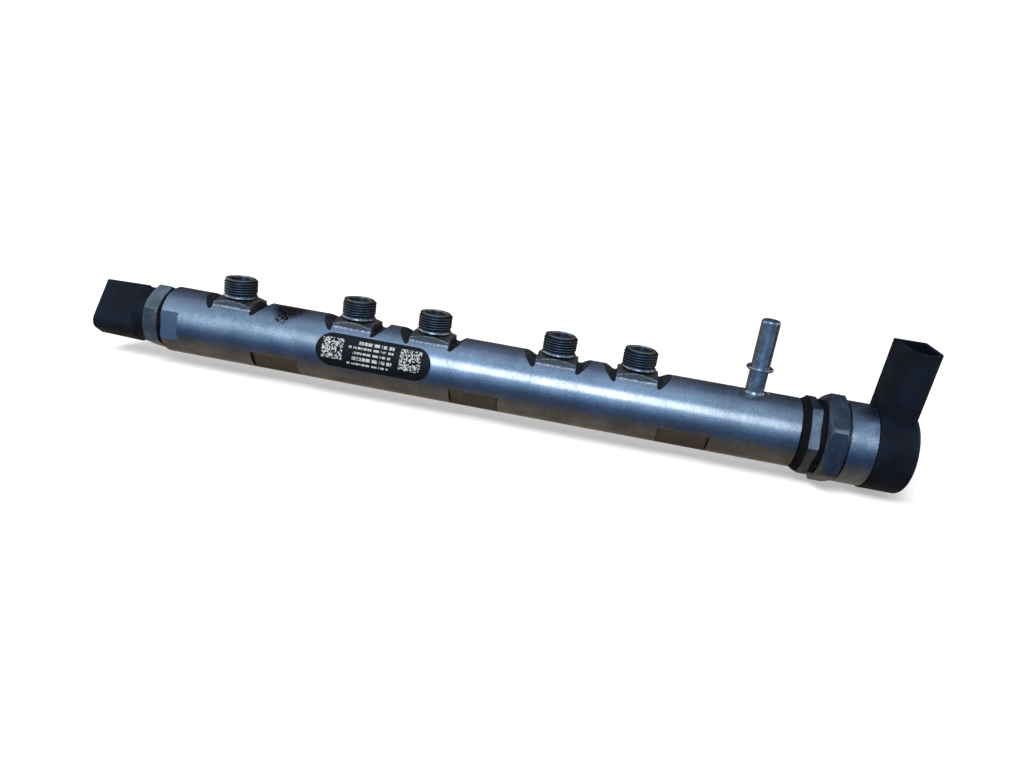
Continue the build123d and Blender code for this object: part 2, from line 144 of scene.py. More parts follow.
def makeWorld():
    world = bpy.data.worlds.new("paleStudio")
    tree = clearTree(world)
    level = addNode(tree, "MapRange", {0: addFlags(tree), 3: daylight["worldLevel"], 4: 1.0})
    sky = addNode(tree, "Background", {"Color": (1, 1, 1, 1), "Strength": level})
    addNode(tree, "OutputWorld", {"Surface": sky})
    scene.world = world


def makeSun():
    sun = bpy.data.lights.new("softDaylight", "SUN")
    sun.energy = daylight["sunStrength"]
    sun.angle = math.radians(daylight["sunAngle"])
    lamp = bpy.data.objects.new("softDaylight", sun)
    lamp.rotation_euler = [math.radians(a) for a in daylight["sunTurn"]]
    lamp.visible_glossy = False
    scene.collection.objects.link(lamp)


# Ground: white paper that keeps the soft shadow and fades to plain white further out
groundLook = {
    "gap": 1.0,  # millimetres between the part's solids and the ground
    "colour": "#f2f2f2", "glow": 0.38, "halfSize": 6.0,
    "fadeMiddle": 0.04, "fadeFrom": 0.34, "fadeTo": 0.75,  # metres
}
groundZ = cadBox[0].z - groundLook["gap"] * mm


def makeGround():
    look = groundLook
    material, tree = newMaterial("palePaperGround")  # matt white paper, takes a soft shadow
    place = addNode(tree, "NewGeometry", out="Position")
    middle = (look["fadeMiddle"], 0, groundZ)
    away = addNode(tree, "VectorMath", {0: place, 1: middle}, out=1, operation="DISTANCE")
    fade = addNode(tree, "MapRange", {0: away, 1: look["fadeFrom"], 2: look["fadeTo"]},
                   interpolation_type="SMOOTHSTEP")
    paper = addNode(tree, "BsdfDiffuse", {"Color": toLinear(look["colour"])})
    glow = addNode(tree, "Emission", {"Strength": look["glow"]})
    near = addNode(tree, "AddShader", {0: paper, 1: glow})
    white = addNode(tree, "Emission", {"Strength": 1.0})
    seen = addNode(tree, "MixShader", {0: fade, 1: near, 2: white})
    both = addNode(tree, "MixShader", {0: addFlags(tree), 1: paper, 2: seen})
    addNode(tree, "OutputMaterial", {"Surface": both})
    mesh = bpy.data.meshes.new("ground")
    half = look["halfSize"]
    mesh.from_pydata([(-half, -half, 0), (half, -half, 0), (half, half, 0), (-half, half, 0)],
                     [], [(0, 1, 2, 3)])
    mesh.materials.append(material)
    ground = bpy.data.objects.new("ground", mesh)
    ground.location.z = groundZ
    scene.collection.objects.link(ground)


# Cards round the rail that only gloss sees: the window, the dim room and the brown bench of the photo
cardLook = {
    "radius": 0.9, "halfLength": 1.1, "halfDepth": 1.0,  # metres
    "firstAngle": -12, "sweep": 192, "steps": 42,
    "benchLift": 0.1,  # millimetres over the ground
    "room": (  # degrees up from the front, over the top to the back, and what is seen there
        (-180, (0.16, 0.15, 0.14)), (-95, (0.26, 0.22, 0.19)), (-58, (0.28, 0.235, 0.18)),
        (-42, (0.17, 0.15, 0.13)), (-27, (0.070, 0.10, 0.17)), (-12, (0.085, 0.15, 0.27)),
        (-3, (0.20, 0.33, 0.54)), (10, (0.50, 0.76, 1.10)), (22, (0.74, 1.05, 1.45)),
        (50, (0.60, 0.90, 1.26)), (68, (0.54, 0.78, 1.06)), (84, (0.48, 0.64, 0.86)),
        (109, (0.21, 0.28, 0.42)), (146, (0.12, 0.135, 0.16)), (180, (0.11, 0.11, 0.12))),
    "window": ((17, 0), (25, 1), (40, 1), (49, 0)),  # degrees up and how much of the window is there
    "windowColour": (4.3, 4.6, 4.7, 1),
    "windowEnds": ((-0.34, -0.08), (0.30, 0.12)),  # metres along, from none to all of it
    "dimming": ((-0.50, -0.20, 0.64, 1.0), (0.12, 0.34, 1.0, 0.52)),  # metres along, and the level at both
}


def makeCardGlow():
    look = cardLook
    material, tree = newMaterial("reflectorCards")  # glowing card, so that metal has something to mirror
    position = addNode(tree, "NewGeometry", out="Position")
    along, across, height = addNode(tree, "SeparateXYZ", {0: position}).node.outputs
    front = addNode(tree, "Math", {0: across, 1: -1.0}, operation="MULTIPLY")
    angle = addNode(tree, "Math", {0: height, 1: front}, operation="ARCTAN2")
    share = addNode(tree, "MapRange", {0: angle, 1: -math.pi, 2: math.pi})
    room = addNode(tree, "ValToRGB", {0: share}, stops=[
        ((degrees + 180) / 360, (*colour, 1)) for degrees, colour in look["room"]])
    lit = addNode(tree, "ValToRGB", {0: share}, stops=[
        ((degrees + 180) / 360, (value, value, value, 1)) for degrees, value in look["window"]])
    for start, full in look["windowEnds"]:
        end = addNode(tree, "MapRange", {0: along, 1: start, 2: full}, interpolation_type="SMOOTHSTEP")
        lit = addNode(tree, "Math", {0: lit, 1: end}, operation="MULTIPLY")
    colour = addNode(tree, "Mix", {0: lit, 6: room, 7: look["windowColour"]}, out=2, data_type="RGBA",
                     clamp_result=False)
    level = 1.0
    for start, end, low, high in look["dimming"]:
        dim = addNode(tree, "MapRange", {0: along, 1: start, 2: end, 3: low, 4: high})
        level = addNode(tree, "Math", {0: level, 1: dim}, operation="MULTIPLY")
    glow = addNode(tree, "Emission", {"Color": colour, "Strength": level})
    addNode(tree, "OutputMaterial", {"Surface": glow})
    return material


def makeCards():
    look = cardLook
    mesh = bmesh.new()
    rows = []
    for i in range(look["steps"] + 1):
        angle = math.radians(look["firstAngle"] + look["sweep"] * i / look["steps"])
        y, z = -look["radius"] * math.cos(angle), look["radius"] * math.sin(angle)
        rows.append([mesh.verts.new((side * look["halfLength"], y, z)) for side in (-1, 1)])
    for low, high in zip(rows, rows[1:]):
        mesh.faces.new((low[0], low[1], high[1], high[0]))
    benchZ = groundZ + look["benchLift"] * mm
    mesh.faces.new([mesh.verts.new((side * look["halfLength"], depth * look["halfDepth"], benchZ))
                    for side, depth in ((-1, -1), (1, -1), (1, 1), (-1, 1))])
    data = bpy.data.meshes.new("reflectorCards")
    mesh.to_mesh(data)
    mesh.free()
    data.materials.append(makeCardGlow())
    cards = bpy.data.objects.new("reflectorCards", data)
    scene.collection.objects.link(cards)
    for ray in ("camera", "diffuse", "transmission", "volume_scatter", "shadow"):
        setattr(cards, "visible_" + ray, False)


makeWorld()
makeGround()
makeCards()
makeSun()
print("stage and light ready")


# Rail: forged steel, turned outside, with a painted brown reflection on the lower side, dirt in the milled
# troughs, pits and dark specks, a painted shadow where each flat ends and painted highlights on the pads'
# front edges
railLook = {
    "steel": "#b3bbc6", "steelDark": "#99a1ac", "darkFrom": 0.38, "darkTo": 0.66,
    "roughness": 0.27, "smoother": 0.05, "rougher": 0.07, "padDull": 0.3, "dirtRough": 0.3,
    "rimHighlightMetal": -0.8,  # painted highlight: the pads' front rims lose most of their mirror, so that they stay light from every side
    "anisotropy": 0.75,
    "streakWidth": 0.35, "streakLength": 14.0,  # turning marks, drawn coarser than real so that they show
    "shadeFrom": 0.35, "shadeTo": 0.65, "streakShade": (0.94, 1.05), "mottleShade": (0.88, 1.08),
    "speckCell": 1.7, "bump": 0.012, "markDepth": -4.0,
    "stain": (-89.0, -2.5, 14.6), "pits": (-90.0, -8.9, 12.1),  # right of the first port
    "padFoot": (0, -8.7, 12.3), "padCrown": 15.9, "padSlope": 0.42, "padNeck": 7.0, "crownShare": 0.6,
}
railNoises = {  # size in millimetres, detail and roughness
    "stain": (16.0, 5.0, 0.62),
    "fine": (2.2, 6.0, 0.70),
    "mottle": (0.8, 4.0, 0.50),
}
railBands = {  # the length it reads, where the mask starts and where it is full, in millimetres
    # the lower side of the tube, where the brown reflection is painted
    "lowerSide": ("height", -2, -12),
    "cut": ("radius", 14.97, 14.90),  # all that is milled into the tube
    "cutAbove": ("height", 4.8, 5.2),
    "cutBelow": ("height", 5.2, 4.8),
    "besidePad": ("portAlong", 8.62, 8.72),
    "troughEnd": ("portAlong", 16.0, 15.6),
    "padAlong": ("portAlong", 8.9, 8.7),
    "padHeight": ("height", 12.2, 12.6),
    "padRound": ("portRound", 12.0, 10.0),
    "offTube": ("radius", 15.0, 15.1),
    # near the ends of the flats, where the shadow is painted
    "seatEnds": ("seatAlong", 10.1, 10.5),
    "leftEnd": ("along", -135.6, -136.2),
    "nippleFoot": ("height", 16.3, 16.9),
    "nippleTop": ("height", 24.25, 23.95),
    "stainReach": ("stainAway", 8.5, 5.0),
    "pitsReach": ("pitsAway", 4.2, 2.4),
    "nearPort": ("portRound", 16.0, 10.0),
    # the pads' front edges, at the foot and at the crown, where the highlight is painted
    "footRim": ("footAway", 0.62, 0.34),
    "crownRim": ("crownAway", 0.40, 0.22),
    "padFront": ("across", -8.3, -8.45),
    "rimAlong": ("portAlong", 9.0, 8.7),
}
railPatches = {  # the noise it reads, its lower and upper value, and the shares at both
    "belowReflectionPatches": ("stain", 0.30, 0.60, 0.40, 0.85),
    "caked": ("fine", 0.36, 0.60, 0.95, 0.66),
    "rubbed": ("fine", 0.30, 0.70, 0.65, 0.98),
    "ragged": ("fine", 0.34, 0.46, 0.35, 0.95),
    "pitted": ("mottle", 0.47, 0.50, 0.0, 1.0),
    "dots": ("cells", 0.16, 0.07, 0.0, 1.0),
    "crowded": ("stain", 0.48, 0.60, 0.15, 0.90),
    "broken": ("mottle", 0.40, 0.60, 0.10, 0.95),
}
railLayers = (  # painted in this order: mask, the masks that it multiplies, colour
    ("underTone", ("lowerSide", "belowReflectionPatches"), "#5f574e"),  # painted reflection: the brown bench below, painted in patches on the lower side
    ("trough", ("cut", "cutAbove", "besidePad", "troughEnd", "caked"), "#453b33"),  # caked dirt
    ("pad", ("padAlong", "padHeight", "padRound", "offTube"), "#a8a297"),  # blasted, duller than the tube
    ("flat", ("cut", "cutBelow", "rubbed"), "#605a57"),  # brown milled bracket flats
    ("paintedEndShadow", ("seatEnds", "flat"), "#0d0c0b"),  # painted shadow: black in the corner where a flat ends at its end wall
    ("wrench", ("leftEnd", "cut"), "#c0c7d0"),  # clean milled wrench flats
    ("nipple", ("nippleFoot", "nippleTop"), "#30363f"),  # dark oil under the threads
    ("stained", ("stainReach", "ragged"), "#2c241c"),
    ("pit", ("pitsReach", "pitted"), "#1b1512"),
    ("speck", ("dots", "crowding"), "#23201f"),
    ("paintedRimHighlight", ("rims", "rimAlong", "broken"), "#c3cad2"),  # painted highlight: light lines on the pads' front edges, broken up by noise
)


def addNearest(tree, spot, places):  # distance from a spot to the nearest of some places along the rail
    nearest = None
    for x in places:
        away = addNode(tree, "VectorMath", {0: spot, 1: (x * mm, 0, 0)}, out=1, operation="DISTANCE")
        nearest = away if nearest is None else addNode(tree, "Math", {0: nearest, 1: away},
                                                       operation="MINIMUM")
    return nearest


def measureRail(tree, place):  # every length that a band of the rail's finish reads
    look = railLook
    along, across, height = addNode(tree, "SeparateXYZ", {0: place}).node.outputs
    line = addNode(tree, "CombineXYZ", {0: along})
    plan = addNode(tree, "CombineXYZ", {0: along, 1: across})
    section = addNode(tree, "CombineXYZ", {1: across, 2: height})
    lengths = {
        "along": along, "across": across, "height": height,
        "radius": addNode(tree, "VectorMath", {0: section}, out=1, operation="LENGTH"),
        "portAlong": addNearest(tree, line, railLayout["portsX"]),
        "portRound": addNearest(tree, plan, railLayout["portsX"]),
        "seatAlong": addNearest(tree, line, railLayout["seatsX"]),
    }
    for name, spot, middle in (("stainAway", place, look["stain"]), ("pitsAway", place, look["pits"]),
                               ("footAway", section, look["padFoot"])):
        middle = tuple(v * mm for v in middle)
        lengths[name] = addNode(tree, "VectorMath", {0: spot, 1: middle}, out=1, operation="DISTANCE")
    crown = addNode(tree, "Math", {0: lengths["portRound"], 1: look["padSlope"], 2: height},
                    operation="MULTIPLY_ADD")
    crownHeight = (look["padCrown"] + look["padNeck"] * look["padSlope"]) * mm
    crown = addNode(tree, "Math", {0: crown, 1: crownHeight}, operation="SUBTRACT")
    lengths["crownAway"] = addNode(tree, "Math", {0: crown}, operation="ABSOLUTE")
    return lengths


def makeRailSteel():
    look = railLook
    material, tree = newMaterial("turnedRailSteel")  # satin turned steel, streaked round the tube
    place = addNode(tree, "TexCoord", out="Object")
    lengths = measureRail(tree, place)
    noises = {
        name: addNode(tree, "TexNoise", {"Vector": place, "Scale": 1 / (size * mm), "Detail": detail,
                                         "Roughness": roughness})
        for name, (size, detail, roughness) in railNoises.items()}
    noises["cells"] = addNode(tree, "TexVoronoi", {"Vector": place, "Scale": 1 / (look["speckCell"] * mm)})
    streakScale = [1 / (look[size] * mm) for size in ("streakWidth", "streakLength", "streakLength")]
    marks = addNode(tree, "Mapping", {"Vector": place, "Scale": streakScale})
    streak = addNode(tree, "TexNoise", {"Vector": marks, "Scale": 1.0, "Detail": 3.0})

    tone = addNode(tree, "MapRange", {0: noises["stain"], 1: look["darkFrom"], 2: look["darkTo"]})
    base = addNode(tree, "Mix", {0: tone, 6: toLinear(look["steel"]), 7: toLinear(look["steelDark"])},
                   out=2, data_type="RGBA")
    for noise, (low, high) in ((streak, look["streakShade"]), (noises["mottle"], look["mottleShade"])):
        shade = addNode(tree, "MapRange", {0: noise, 1: look["shadeFrom"], 2: look["shadeTo"], 3: low,
                                           4: high})
        base = addNode(tree, "Mix", {0: 1.0, 6: base, 7: shade}, out=2, data_type="RGBA",
                       blend_type="MULTIPLY")

    masks = {}
    for name, (length, start, full) in railBands.items():
        masks[name] = addNode(tree, "MapRange", {0: lengths[length], 1: start * mm, 2: full * mm})
    for name, (noise, start, end, low, high) in railPatches.items():
        masks[name] = addNode(tree, "MapRange", {0: noises[noise], 1: start, 2: end, 3: low, 4: high})
    masks["crowding"] = addNode(tree, "Math", {0: masks["crowded"], 1: masks["nearPort"]},
                                operation="MAXIMUM")
    # painted highlight along the pads' front edges: at the foot, and weaker at the crown
    crown = addNode(tree, "Math", {0: masks["crownRim"], 1: masks["padFront"]}, operation="MULTIPLY")
    crown = addNode(tree, "Math", {0: crown, 1: look["crownShare"]}, operation="MULTIPLY")
    masks["rims"] = addNode(tree, "Math", {0: masks["footRim"], 1: crown}, operation="MAXIMUM")
    for name, factors, colour in railLayers:
        share = masks[factors[0]]
        for factor in factors[1:]:
            share = addNode(tree, "Math", {0: share, 1: masks[factor]}, operation="MULTIPLY")
        masks[name] = share
        base = addNode(tree, "Mix", {0: share, 6: base, 7: toLinear(colour)}, out=2, data_type="RGBA")

    dull = addNode(tree, "Math", {0: masks["trough"], 1: masks["pit"]}, operation="ADD")
    dull = addNode(tree, "Math", {0: masks["pad"], 1: look["padDull"], 2: dull}, operation="MULTIPLY_ADD")
    rough = addNode(tree, "MapRange", {0: noises["fine"], 1: noiseLow, 2: noiseHigh,
                                       3: look["roughness"] - look["smoother"],
                                       4: look["roughness"] + look["rougher"]})
    rough = addNode(tree, "Math", {0: dull, 1: look["dirtRough"], 2: rough}, operation="MULTIPLY_ADD")
    # less mirror where the highlight is painted
    metal = addNode(tree, "Math", {0: masks["paintedRimHighlight"], 1: look["rimHighlightMetal"], 2: 1.0}, operation="MULTIPLY_ADD")
    relief = addNode(tree, "Math", {0: streak, 1: noises["fine"]}, operation="ADD")
    holes = addNode(tree, "Math", {0: masks["speck"], 1: masks["pit"]}, operation="ADD")
    relief = addNode(tree, "Math", {0: holes, 1: look["markDepth"], 2: relief}, operation="MULTIPLY_ADD")
    bump = addNode(tree, "Bump", {"Height": relief, "Distance": look["bump"] * mm, "Strength": 1.0})
    tangent = addNode(tree, "Tangent", direction_type="RADIAL", axis="X")
    finishMaterial(tree, {"Base Color": base, "Metallic": metal, "Roughness": rough, "Normal": bump,
                          "Anisotropic": look["anisotropy"], "Anisotropic Rotation": acrossMarks,
                          "Tangent": tangent})
    return material


def joinRows(mesh, rows, closedRound, closedProfile):  # faces between rows of points
    for i in range(len(rows) if closedRound else len(rows) - 1):
        row, after = rows[i], rows[(i + 1) % len(rows)]
        for j in range(len(row) if closedProfile else len(row) - 1):
            k = (j + 1) % len(row)
            mesh.faces.new((row[j], after[j], after[k], row[k]))


def finishPiece(mesh, name, material, sharpAngle=None):  # a named piece that rides on the rail
    bmesh.ops.recalc_face_normals(mesh, faces=mesh.faces)
    data = bpy.data.meshes.new(name)
    mesh.to_mesh(data)
    mesh.free()
    data.materials.append(material)
    for polygon in data.polygons:
        polygon.use_smooth = True
    if sharpAngle is not None:
        data.set_sharp_from_angle(angle=math.radians(sharpAngle))
    piece = bpy.data.objects.new(name, data)
    scene.collection.objects.link(piece)
    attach(piece, "rail")
    return piece


# Threads on the nipples: rolled ridges, dark with oil, spaced as the photo's ridges are
portThread = {
    "rootRadius": 6.94, "crestRadius": 7.42, "pitch": 1.12, "bottom": 17.55, "top": 23.75,
    "runOut": 0.5,  # turns over which the ridge rises and ends
    "stepsPerTurn": 64, "profileSteps": 8,
    "steel": "#2c323b", "crest": "#8b95a2", "crestFrom": 7.22, "crestTo": 7.40,
    "grain": 0.9, "roughness": (0.28, 0.50),
}


def makeThreadSteel():
    look = portThread
    material, tree = newMaterial("oiledThreadSteel")  # blue-black rolled thread, lighter worn crests
    place = addNode(tree, "TexCoord", out="Object")
    along, across, _ = addNode(tree, "SeparateXYZ", {0: place}).node.outputs
    plan = addNode(tree, "CombineXYZ", {0: along, 1: across})
    radius = addNearest(tree, plan, railLayout["portsX"])
    crest = addNode(tree, "MapRange", {0: radius, 1: look["crestFrom"] * mm, 2: look["crestTo"] * mm})
    grain = addNode(tree, "TexNoise", {"Vector": place, "Scale": 1 / (look["grain"] * mm), "Detail": 5.0})
    worn = addNode(tree, "Math", {0: crest, 1: grain}, operation="MULTIPLY")
    base = addNode(tree, "Mix", {0: worn, 6: toLinear(look["steel"]), 7: toLinear(look["crest"])},
                   out=2, data_type="RGBA")
    smooth, coarse = look["roughness"]
    rough = addNode(tree, "MapRange", {0: grain, 1: noiseLow, 2: noiseHigh, 3: smooth, 4: coarse})
    finishMaterial(tree, {"Base Color": base, "Metallic": 1.0, "Roughness": rough})
    return material


def makeThread(number, x, material):
    look = portThread
    turns = (look["top"] - look["bottom"]) / look["pitch"]
    shares = [j / look["profileSteps"] - 0.5 for j in range(look["profileSteps"] + 1)]
    profile = [(share * look["pitch"], (1 + math.cos(2 * math.pi * share)) / 2) for share in shares]
    mesh = bmesh.new()
    rows = []
    for i in range(int(turns * look["stepsPerTurn"]) + 1):
        done = i / look["stepsPerTurn"]
        angle = 2 * math.pi * i / look["stepsPerTurn"]
        swell = max(0.0, min(1.0, done / look["runOut"], (turns - done) / look["runOut"]))
        z = look["bottom"] + done * look["pitch"]
        row = []
        for lift, height in profile:
            r = look["rootRadius"] + (look["crestRadius"] - look["rootRadius"]) * height * swell
            row.append(mesh.verts.new(((x + r * math.cos(angle)) * mm, r * math.sin(angle) * mm,
                                       (z + lift) * mm)))
        rows.append(row)
    joinRows(mesh, rows, closedRound=False, closedProfile=False)
    finishPiece(mesh, f"port_thread_{number}", material)


# The turned shoulder under each thread, which catches the window: radius and height of its profile
portShoulder = {
    "profile": ((7.62, 16.25), (7.60, 16.45), (6.95, 17.30), (6.6, 17.45)),
    "stepsRound": 72, "sharpAngle": 60,
    "steel": "#9aa3ae", "roughness": 0.32, "grain": 1.0, "oiled": (0.35, 0.62), "shade": (0.35, 1.0),
}


def makeShoulderSteel():
    look = portShoulder
    material, tree = newMaterial("turnedShoulderSteel")  # bright turned steel, oily in the corner
    place = addNode(tree, "TexCoord", out="Object")
    grain = addNode(tree, "TexNoise", {"Vector": place, "Scale": 1 / (look["grain"] * mm), "Detail": 5.0})
    dark, light = look["shade"]
    shade = addNode(tree, "MapRange", {0: grain, 1: look["oiled"][0], 2: look["oiled"][1], 3: dark,
                                       4: light})
    base = addNode(tree, "Mix", {0: 1.0, 6: toLinear(look["steel"]), 7: shade}, out=2,
                   data_type="RGBA", blend_type="MULTIPLY")
    finishMaterial(tree, {"Base Color": base, "Metallic": 1.0, "Roughness": look["roughness"]})
    return material


def makeShoulder(number, x, material):
    look = portShoulder
    mesh = bmesh.new()
    rows = []
    for i in range(look["stepsRound"]):
        a = 2 * math.pi * i / look["stepsRound"]
        rows.append([mesh.verts.new(((x + r * math.cos(a)) * mm, r * math.sin(a) * mm, z * mm))
                     for r, z in look["profile"]])
    joinRows(mesh, rows, closedRound=True, closedProfile=False)
    finishPiece(mesh, f"port_shoulder_{number}", material, look["sharpAngle"])


dress(makeRailSteel(), "rail_body")
threadSteel = makeThreadSteel()
shoulderSteel = makeShoulderSteel()
for number, portX in enumerate(railLayout["portsX"], start=1):
    makeThread(number, portX, threadSteel)
    makeShoulder(number, portX, shoulderSteel)
print("rail and threads dressed")


# Other steels: one recipe, each with its own tones. Grain in millimetres, axis is the one it was turned on
steels = {
    # bright drawn tube, satin, with soft tone patches
    "drawnStubSteel": {"light": "#abb5c1", "dark": "#929caa", "rough": 0.27, "grain": 2.5, "aniso": 0.35,
                       "axis": "Z", "on": ("return_stub",)},
    # phosphated and oiled: dark facets that stay dull beside the tube
    "oiledNutSteel": {"light": "#7d8794", "dark": "#646a74", "rough": 0.32, "grain": 1.2, "aniso": 0.0,
                      "axis": "X", "on": ("lock_nut", "valve_body")},
    # stainless: light, warm grey and matt
    "greySensorSteel": {"light": "#b3b5b6", "dark": "#939593", "rough": 0.36, "grain": 1.4, "aniso": 0.0,
                        "axis": "X", "on": ("sensor_body", "sensor_diaphragm")},
    # smooth deep-drawn sleeve: bluish, with a long soft highlight
    "bluedSleeveSteel": {"light": "#aab4c3", "dark": "#949eac", "rough": 0.26, "grain": 0.8, "aniso": 0.7,
                         "axis": "X", "on": ("coil_sleeve",)},
    # hardened and ground: the cleanest and brightest
    "groundHardSteel": {"light": "#b9bcc0", "dark": "#93979c", "rough": 0.20, "grain": 0.6, "aniso": 0.3,
                        "axis": "X", "on": ("valve_seat", "valve_ball", "valve_armature",
                                            "armature_spring", "guide_tube", "end_plug",
                                            *(f"throttle_insert_{i}" for i in range(1, 6)))},
}
steelRecipe = {"patchSize": 7, "patches": (0.36, 0.62), "shade": (0.82, 1.12), "bump": 0.01,
               "smoother": 0.06, "rougher": 0.10}


def makeSteel(name, look):
    recipe = steelRecipe
    material, tree = newMaterial(name)  # machined steel, thin oil film in patches
    place = addNode(tree, "TexCoord", out="Object")
    grain = addNode(tree, "TexNoise", {"Vector": place, "Scale": 1 / (look["grain"] * mm), "Detail": 6.0,
                                       "Roughness": 0.65})
    patch = addNode(tree, "TexNoise", {"Vector": place, "Scale": 1 / (recipe["patchSize"] * mm),
                                       "Detail": 4.0})
    tone = addNode(tree, "MapRange", {0: patch, 1: recipe["patches"][0], 2: recipe["patches"][1]})
    base = addNode(tree, "Mix", {0: tone, 6: toLinear(look["light"]), 7: toLinear(look["dark"])}, out=2,
                   data_type="RGBA")
    shade = addNode(tree, "MapRange", {0: grain, 1: noiseLow, 2: noiseHigh, 3: recipe["shade"][0],
                                       4: recipe["shade"][1]})
    base = addNode(tree, "Mix", {0: 1.0, 6: base, 7: shade}, out=2, data_type="RGBA",
                   blend_type="MULTIPLY")
    rough = addNode(tree, "MapRange", {0: grain, 1: noiseLow, 2: noiseHigh,
                                       3: look["rough"] - recipe["smoother"],
                                       4: look["rough"] + recipe["rougher"]})
    bump = addNode(tree, "Bump", {"Height": grain, "Distance": recipe["bump"] * mm, "Strength": 1.0})
    inputs = {"Base Color": base, "Metallic": 1.0, "Roughness": rough, "Normal": bump}
    if look["aniso"]:
        inputs["Anisotropic"] = look["aniso"]
        inputs["Anisotropic Rotation"] = acrossMarks
        inputs["Tangent"] = addNode(tree, "Tangent", direction_type="RADIAL", axis=look["axis"])
    finishMaterial(tree, inputs)
    dress(material, *look["on"])
    return material


steelMaterials = {steelName: makeSteel(steelName, look) for steelName, look in steels.items()}
print("other steels dressed")


# Plastics, rubber, board and copper. Grain and relief in millimetres, gloss is the specular level
softs = {
    # moulded nylon: nearly black, faint blue, dull grain drawn coarse enough to show
    "glassFilledNylon": {"light": "#0f1724", "dark": "#090d16", "rough": 0.50, "grain": 0.45,
                         "relief": 0.02, "metal": 0.0, "gloss": 0.16,
                         "on": ("sensor_connector", "solenoid_cap")},
    # moulded rubber seals, flat black; the rings in the gaps between the steels also stand in for the
    # shade in those gaps, as painted shade
    "sealRubberAndGapShade": {"light": "#0e0f11", "dark": "#08080a", "rough": 0.70, "grain": 0.6,
                   "relief": 0.02, "metal": 0.0, "gloss": 0.15,
                   "on": ("sensor_seal_ring", "lock_nut_seal_ring", "valve_seal_ring", "valve_o_ring")},
    # moulded natural nylon: cream
    "palePolymer": {"light": "#d8d3c4", "dark": "#c4bda9", "rough": 0.5, "grain": 1.2,
                    "relief": 0.01, "metal": 0.0, "gloss": 0.5,
                    "on": ("valve_support_ring", "coil_bobbin")},
    # glass epoxy board under green lacquer
    "boardLaminate": {"light": "#1d5a35", "dark": "#14472a", "rough": 0.4, "grain": 0.8,
                      "relief": 0.01, "metal": 0.0, "gloss": 0.5, "on": ("sensor_board",)},
    # wound enamelled wire, one plain cylinder here
    "enamelledCopper": {"light": "#b5683c", "dark": "#8f4a26", "rough": 0.3, "grain": 0.5,
                        "relief": 0.03, "metal": 1.0, "gloss": 0.5, "on": ("coil_winding",)},
    # stamped and tinned blades: pale and smooth
    "tinnedContact": {"light": "#c9c7bf", "dark": "#a9a69b", "rough": 0.28, "grain": 0.5,
                      "relief": 0.01, "metal": 1.0, "gloss": 0.5,
                      "on": ("sensor_terminals", "valve_terminals")},
}
softRecipe = {"patchSize": 9, "patches": (0.35, 0.65), "smoother": 0.06, "rougher": 0.08}


def makeSoft(name, look):
    recipe = softRecipe
    material, tree = newMaterial(name)  # fine grain with dusty patches
    place = addNode(tree, "TexCoord", out="Object")
    grain = addNode(tree, "TexNoise", {"Vector": place, "Scale": 1 / (look["grain"] * mm), "Detail": 4.0})
    patch = addNode(tree, "TexNoise", {"Vector": place, "Scale": 1 / (recipe["patchSize"] * mm),
                                       "Detail": 5.0})
    tone = addNode(tree, "MapRange", {0: patch, 1: recipe["patches"][0], 2: recipe["patches"][1]})
    base = addNode(tree, "Mix", {0: tone, 6: toLinear(look["light"]), 7: toLinear(look["dark"])}, out=2,
                   data_type="RGBA")
    rough = addNode(tree, "MapRange", {0: grain, 1: noiseLow, 2: noiseHigh,
                                       3: look["rough"] - recipe["smoother"],
                                       4: look["rough"] + recipe["rougher"]})
    bump = addNode(tree, "Bump", {"Height": grain, "Distance": look["relief"] * mm, "Strength": 1.0})
    finishMaterial(tree, {"Base Color": base, "Metallic": look["metal"], "Roughness": rough,
                          "Specular IOR Level": look["gloss"], "Normal": bump})
    dress(material, *look["on"])
    return material


softMaterials = {softName: makeSoft(softName, look) for softName, look in softs.items()}
print("plastics and rubber dressed")


# Hexagons and rings as the photo shows them: chamfers so slight that each facet runs from side to side
turnedMesh = {"stepsRound": 144, "slopeSteps": 10, "sharpAngle": 24}
turnedPieces = {  # outline of place along the rail and radius, in millimetres, corner in degrees
    "lock_nut_hexagon": {
        "outline": ((140.8, 16.75), (140.98, 17.05), (144.9, 17.05), (145.08, 16.75)),
        "bore": 8.4, "across": 29.8, "corner": -2.2, "replaces": "lock_nut",
        "material": "oiledNutSteel", "slot": "nut_steel"},
    # black ring between the tube end and the lock nut: a seal, and painted shade in that gap
    "lock_nut_wedge_ring": {
        "outline": ((137.7, 14.3), (137.9, 14.7), (140.6, 16.3), (140.8, 16.1)),
        "bore": 8.4, "across": None, "corner": 0, "replaces": "lock_nut_seal_ring",
        "material": "sealRubberAndGapShade", "slot": "seal_rubber"},
    # black ring between the lock nut and the valve hexagon: painted shade in that gap
    "valve_wide_ring": {
        "outline": ((145.08, 15.6), (145.3, 15.9), (147.0, 15.9), (147.2, 15.7)),
        "bore": 8.4, "across": None, "corner": 0, "replaces": "valve_seal_ring",
        "material": "sealRubberAndGapShade", "slot": "seal_rubber"},
    "valve_hexagon_shell": {
        "outline": ((147.15, 16.9), (148.85, 19.9), (154.4, 19.9), (156.15, 16.95)),
        "bore": 12.0, "across": 35.2, "corner": 27.8, "replaces": None,
        "material": "oiledNutSteel", "slot": "nut_steel"},
    "sensor_hexagon_shell": {
        "outline": ((-154.05, 13.0), (-152.78, 15.2), (-147.3, 15.2), (-146.88, 14.3)),
        "bore": 11.0, "across": 26.2, "corner": 26.3, "replaces": None,
        "material": "greySensorSteel", "slot": "sensor_steel"},
}


def addStations(outline):  # extra places on the sloping ends, so that the facets meet them in clean curves
    stations = [outline[0]]
    for (xa, ra), (xb, rb) in zip(outline, outline[1:]):
        steps = 1 if ra == rb else turnedMesh["slopeSteps"]
        stations += [(xa + (xb - xa) * i / steps, ra + (rb - ra) * i / steps) for i in range(1, steps + 1)]
    return stations


